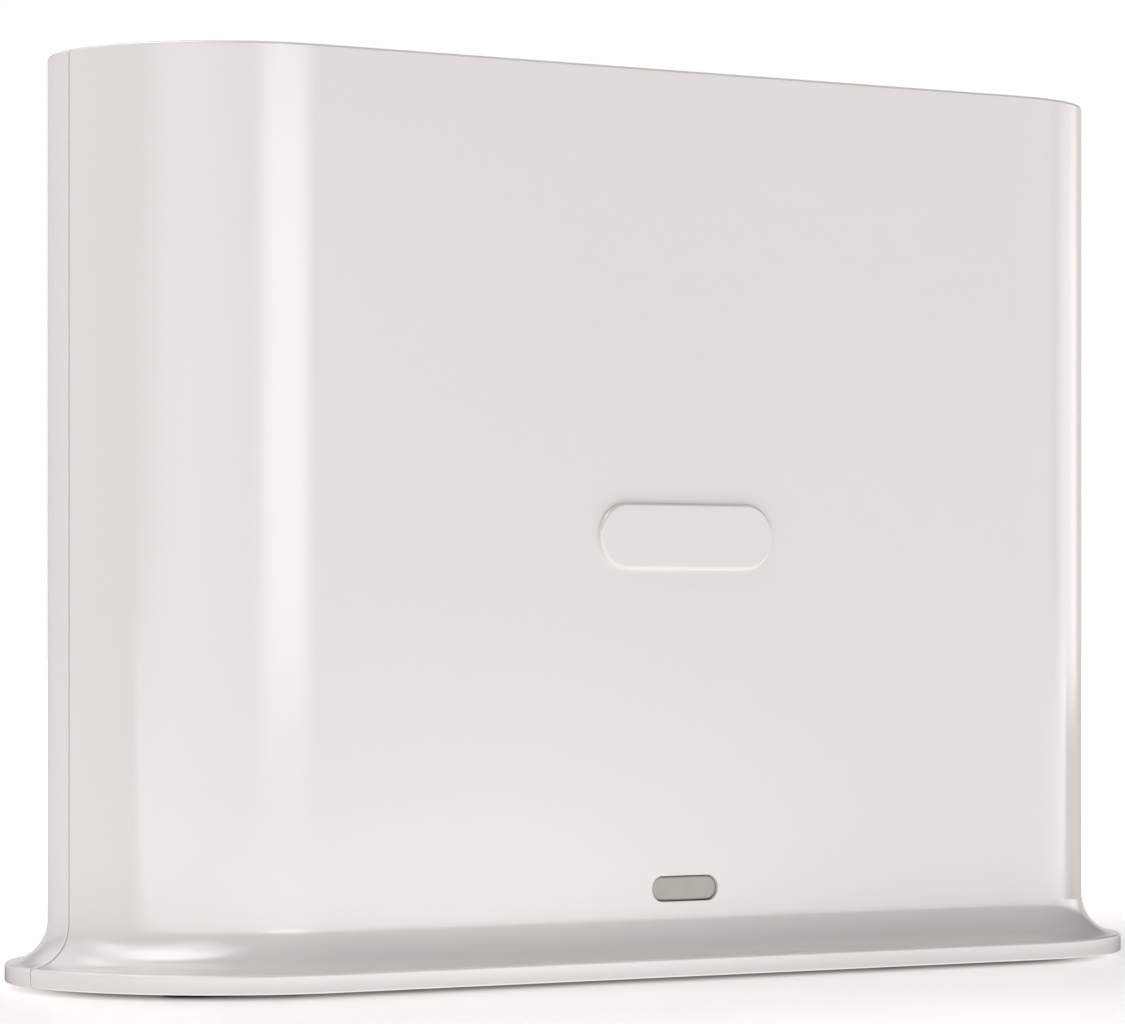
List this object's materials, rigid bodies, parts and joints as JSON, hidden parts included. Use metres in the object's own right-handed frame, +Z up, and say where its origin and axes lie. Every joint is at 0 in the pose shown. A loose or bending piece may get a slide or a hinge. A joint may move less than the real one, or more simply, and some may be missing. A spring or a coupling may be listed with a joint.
{
  "type": "security camera base station",
  "caption": "Upright obround base station in two glossy white covers on a flared foot, with a status light, sync button, siren and a rear bay of network, data and power sockets.",
  "frame": {"origin": "middle of the footprint, on the resting surface under the rubber feet", "axes": "+Z up, +X along the width, -Y towards the front face with the status light"},
  "size_m": [0.1744, 0.0584, 0.1234],
  "materials": {
    "casing_white": "polished warm white moulded plastic",
    "base_plastic": "fine spark-eroded warm white plastic",
    "foot_rubber": "dark grey soft rubber",
    "screw_steel": "zinc plated steel",
    "badge_white": "polished white plastic",
    "window_smoke": "translucent smoke grey plastic",
    "clear_acrylic": "clear polished acrylic",
    "lamp_lens": "tinted clear plastic",
    "button_grey": "fine matt light grey plastic",
    "plunger_ivory": "ivory nylon",
    "part_black": "matt black moulding compound",
    "port_black": "black glass-filled nylon",
    "board_green": "green solder mask on glass laminate",
    "pad_rubber": "grey-blue gap filler",
    "sink_aluminium": "extruded aluminium",
    "shell_steel": "bright tinned steel sheet",
    "capacitor_sleeve": "dark shrink sleeve",
    "coil_ferrite": "grey ferrite",
    "contact_gold": "gold flashed brass",
    "gasket_foam": "black closed-cell foam",
    "cloth_black": "fine black acoustic cloth",
    "lead_red": "red insulated lead",
    "cable_grey": "dark grey jacket"
  },
  "bodies": {
    "casing": {"front_cover": "casing_white", "rear_cover": "casing_white", "base_plate": "base_plastic", "rubber_feet": "foot_rubber", "base_screws": "screw_steel", "badge": "badge_white", "light_window": "window_smoke", "light_guide": "clear_acrylic", "status_led": "lamp_lens", "sync_switch": "part_black", "power_switch": "part_black", "reset_switch": "part_black", "main_board": "board_green", "board_screws": "screw_steel", "processor": "part_black", "thermal_pad": "pad_rubber", "heat_sink": "sink_aluminium", "radio_shield": "shell_steel", "memory_chips": "part_black", "capacitors": "capacitor_sleeve", "power_coils": "coil_ferrite", "network_transformer": "part_black", "network_shell": "shell_steel", "network_insert": "port_black", "network_contacts": "contact_gold", "network_lamps": "lamp_lens", "usb_shells": "shell_steel", "usb_tongues": "port_black", "usb_contacts": "contact_gold", "power_socket": "port_black", "power_socket_pin": "contact_gold", "power_socket_spring": "contact_gold", "siren_housing": "part_black", "siren_back": "part_black", "siren_disc": "contact_gold", "siren_gasket": "gasket_foam", "grille_cloth": "cloth_black", "siren_screws": "screw_steel", "siren_lead": "lead_red", "siren_plug": "plunger_ivory", "left_antenna": "board_green", "right_antenna": "board_green", "left_antenna_cable": "cable_grey", "right_antenna_cable": "cable_grey", "coax_plugs": "contact_gold"},
    "sync_key": {"sync_button": "casing_white", "sync_plunger": "plunger_ivory"},
    "power_key": {"power_button": "button_grey", "power_shaft": "plunger_ivory"},
    "reset_key": {"reset_plunger": "plunger_ivory"}
  },
  "joints": [
    {"name": "sync_press", "type": "slide", "parent": "casing", "child": "sync_key", "axis": [0, 0, -1], "range_m": [0, 0.0006], "stiffness_N_per_m": 2500},
    {"name": "power_press", "type": "slide", "parent": "casing", "child": "power_key", "axis": [0, -1, 0], "range_m": [0, 0.0015], "stiffness_N_per_m": 2000},
    {"name": "reset_press", "type": "slide", "parent": "casing", "child": "reset_key", "axis": [0, -1, 0], "range_m": [0, 0.0003], "stiffness_N_per_m": 5000}
  ]
}
